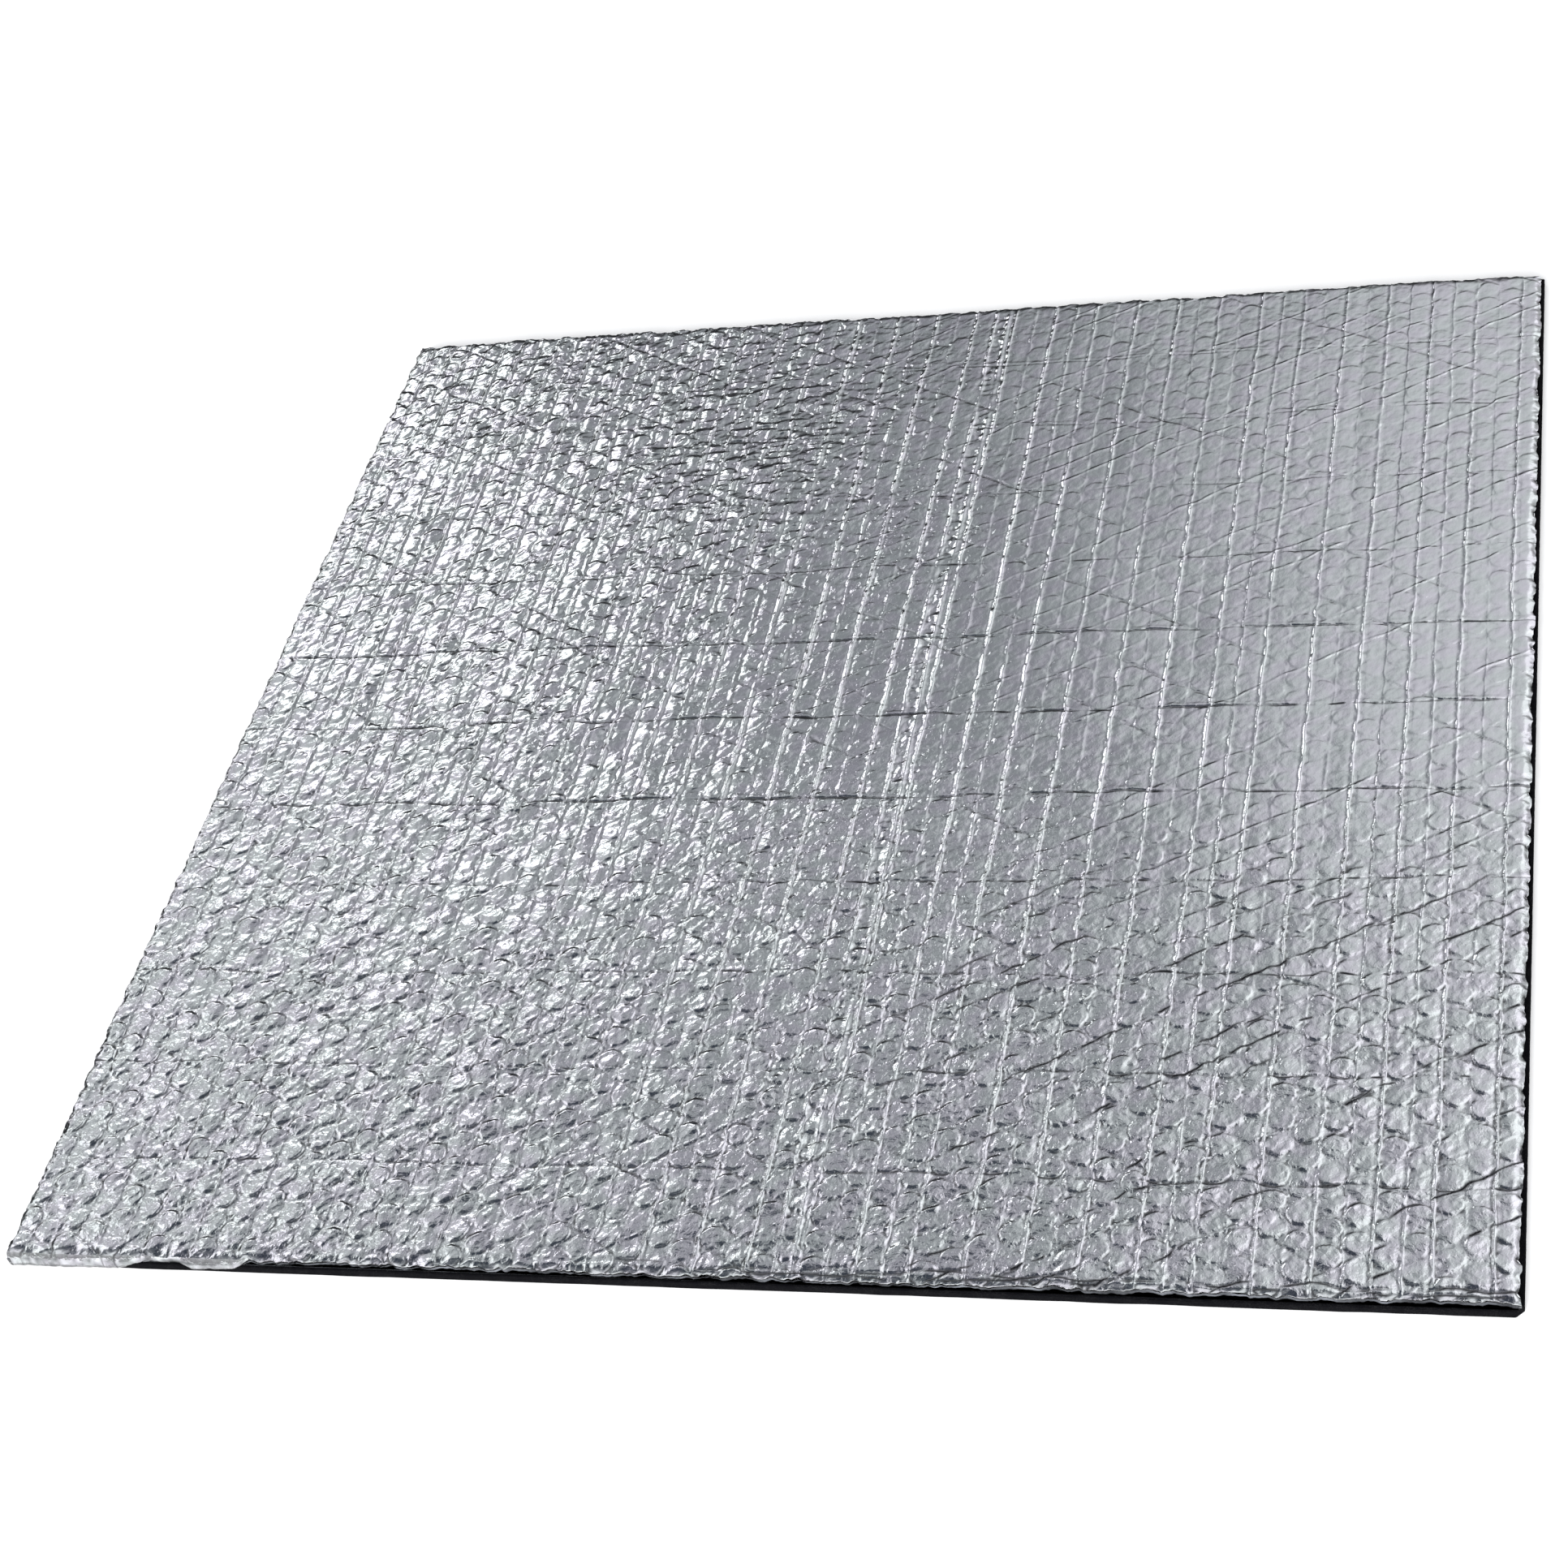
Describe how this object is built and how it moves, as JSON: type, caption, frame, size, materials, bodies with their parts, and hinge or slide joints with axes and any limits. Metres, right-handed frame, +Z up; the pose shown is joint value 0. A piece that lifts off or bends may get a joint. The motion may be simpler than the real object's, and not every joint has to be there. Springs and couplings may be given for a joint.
{
  "type": "folding foam sleeping pad",
  "caption": "Square insulating ground pad: black foam base under foil-faced bubble film, folding like a fan on evenly spaced cross creases.",
  "frame": {"origin": "centre of the underside, on the ground", "axes": "+Z up through the layers, +Y from the front edge to the back edge, +X to the right"},
  "size_m": [0.5, 0.5, 0.0075],
  "materials": {
    "foam_base": "matt black closed-cell foam with a fine open-cut grain at the edges",
    "seal_film": "clear flat polyethylene film",
    "bubble_film": "clear moulded polyethylene bubble film",
    "foil_facing": "crinkled bright aluminium foil"
  },
  "bodies": {
    "panel_01": {"foam_base_01": "foam_base", "seal_film_01": "seal_film", "bubble_film_01": "bubble_film", "foil_facing_01": "foil_facing"},
    "panel_02": {"foam_base_02": "foam_base", "seal_film_02": "seal_film", "bubble_film_02": "bubble_film", "foil_facing_02": "foil_facing"},
    "panel_03": {"foam_base_03": "foam_base", "seal_film_03": "seal_film", "bubble_film_03": "bubble_film", "foil_facing_03": "foil_facing"},
    "panel_04": {"foam_base_04": "foam_base", "seal_film_04": "seal_film", "bubble_film_04": "bubble_film", "foil_facing_04": "foil_facing"},
    "panel_05": {"foam_base_05": "foam_base", "seal_film_05": "seal_film", "bubble_film_05": "bubble_film", "foil_facing_05": "foil_facing"},
    "panel_06": {"foam_base_06": "foam_base", "seal_film_06": "seal_film", "bubble_film_06": "bubble_film", "foil_facing_06": "foil_facing"},
    "panel_07": {"foam_base_07": "foam_base", "seal_film_07": "seal_film", "bubble_film_07": "bubble_film", "foil_facing_07": "foil_facing"},
    "panel_08": {"foam_base_08": "foam_base", "seal_film_08": "seal_film", "bubble_film_08": "bubble_film", "foil_facing_08": "foil_facing"},
    "panel_09": {"foam_base_09": "foam_base", "seal_film_09": "seal_film", "bubble_film_09": "bubble_film", "foil_facing_09": "foil_facing"},
    "panel_10": {"foam_base_10": "foam_base", "seal_film_10": "seal_film", "bubble_film_10": "bubble_film", "foil_facing_10": "foil_facing"},
    "panel_11": {"foam_base_11": "foam_base", "seal_film_11": "seal_film", "bubble_film_11": "bubble_film", "foil_facing_11": "foil_facing"},
    "panel_12": {"foam_base_12": "foam_base", "seal_film_12": "seal_film", "bubble_film_12": "bubble_film", "foil_facing_12": "foil_facing"}
  },
  "joints": [
    {"name": "crease_01", "type": "hinge", "parent": "panel_01", "child": "panel_02", "pos_m": [0, -0.20833, 0.0081], "axis": [1, 0, 0], "range_deg": [0, 176]},
    {"name": "crease_02", "type": "hinge", "parent": "panel_02", "child": "panel_03", "pos_m": [0, -0.16667, -0.0006], "axis": [-1, 0, 0], "range_deg": [0, 176]},
    {"name": "crease_03", "type": "hinge", "parent": "panel_03", "child": "panel_04", "pos_m": [0, -0.125, 0.0081], "axis": [1, 0, 0], "range_deg": [0, 176]},
    {"name": "crease_04", "type": "hinge", "parent": "panel_04", "child": "panel_05", "pos_m": [0, -0.08333, -0.0006], "axis": [-1, 0, 0], "range_deg": [0, 176]},
    {"name": "crease_05", "type": "hinge", "parent": "panel_05", "child": "panel_06", "pos_m": [0, -0.04167, 0.0081], "axis": [1, 0, 0], "range_deg": [0, 176]},
    {"name": "crease_06", "type": "hinge", "parent": "panel_06", "child": "panel_07", "pos_m": [0, 0, -0.0006], "axis": [-1, 0, 0], "range_deg": [0, 176]},
    {"name": "crease_07", "type": "hinge", "parent": "panel_07", "child": "panel_08", "pos_m": [0, 0.04167, 0.0081], "axis": [1, 0, 0], "range_deg": [0, 176]},
    {"name": "crease_08", "type": "hinge", "parent": "panel_08", "child": "panel_09", "pos_m": [0, 0.08333, -0.0006], "axis": [-1, 0, 0], "range_deg": [0, 176]},
    {"name": "crease_09", "type": "hinge", "parent": "panel_09", "child": "panel_10", "pos_m": [0, 0.125, 0.0081], "axis": [1, 0, 0], "range_deg": [0, 176]},
    {"name": "crease_10", "type": "hinge", "parent": "panel_10", "child": "panel_11", "pos_m": [0, 0.16667, -0.0006], "axis": [-1, 0, 0], "range_deg": [0, 176]},
    {"name": "crease_11", "type": "hinge", "parent": "panel_11", "child": "panel_12", "pos_m": [0, 0.20833, 0.0081], "axis": [1, 0, 0], "range_deg": [0, 176]}
  ],
  "couplings": [
    {"joint": "crease_02", "follows": "crease_01", "ratio": 1},
    {"joint": "crease_03", "follows": "crease_01", "ratio": 1},
    {"joint": "crease_04", "follows": "crease_01", "ratio": 1},
    {"joint": "crease_05", "follows": "crease_01", "ratio": 1},
    {"joint": "crease_06", "follows": "crease_01", "ratio": 1},
    {"joint": "crease_07", "follows": "crease_01", "ratio": 1},
    {"joint": "crease_08", "follows": "crease_01", "ratio": 1},
    {"joint": "crease_09", "follows": "crease_01", "ratio": 1},
    {"joint": "crease_10", "follows": "crease_01", "ratio": 1},
    {"joint": "crease_11", "follows": "crease_01", "ratio": 1}
  ]
}
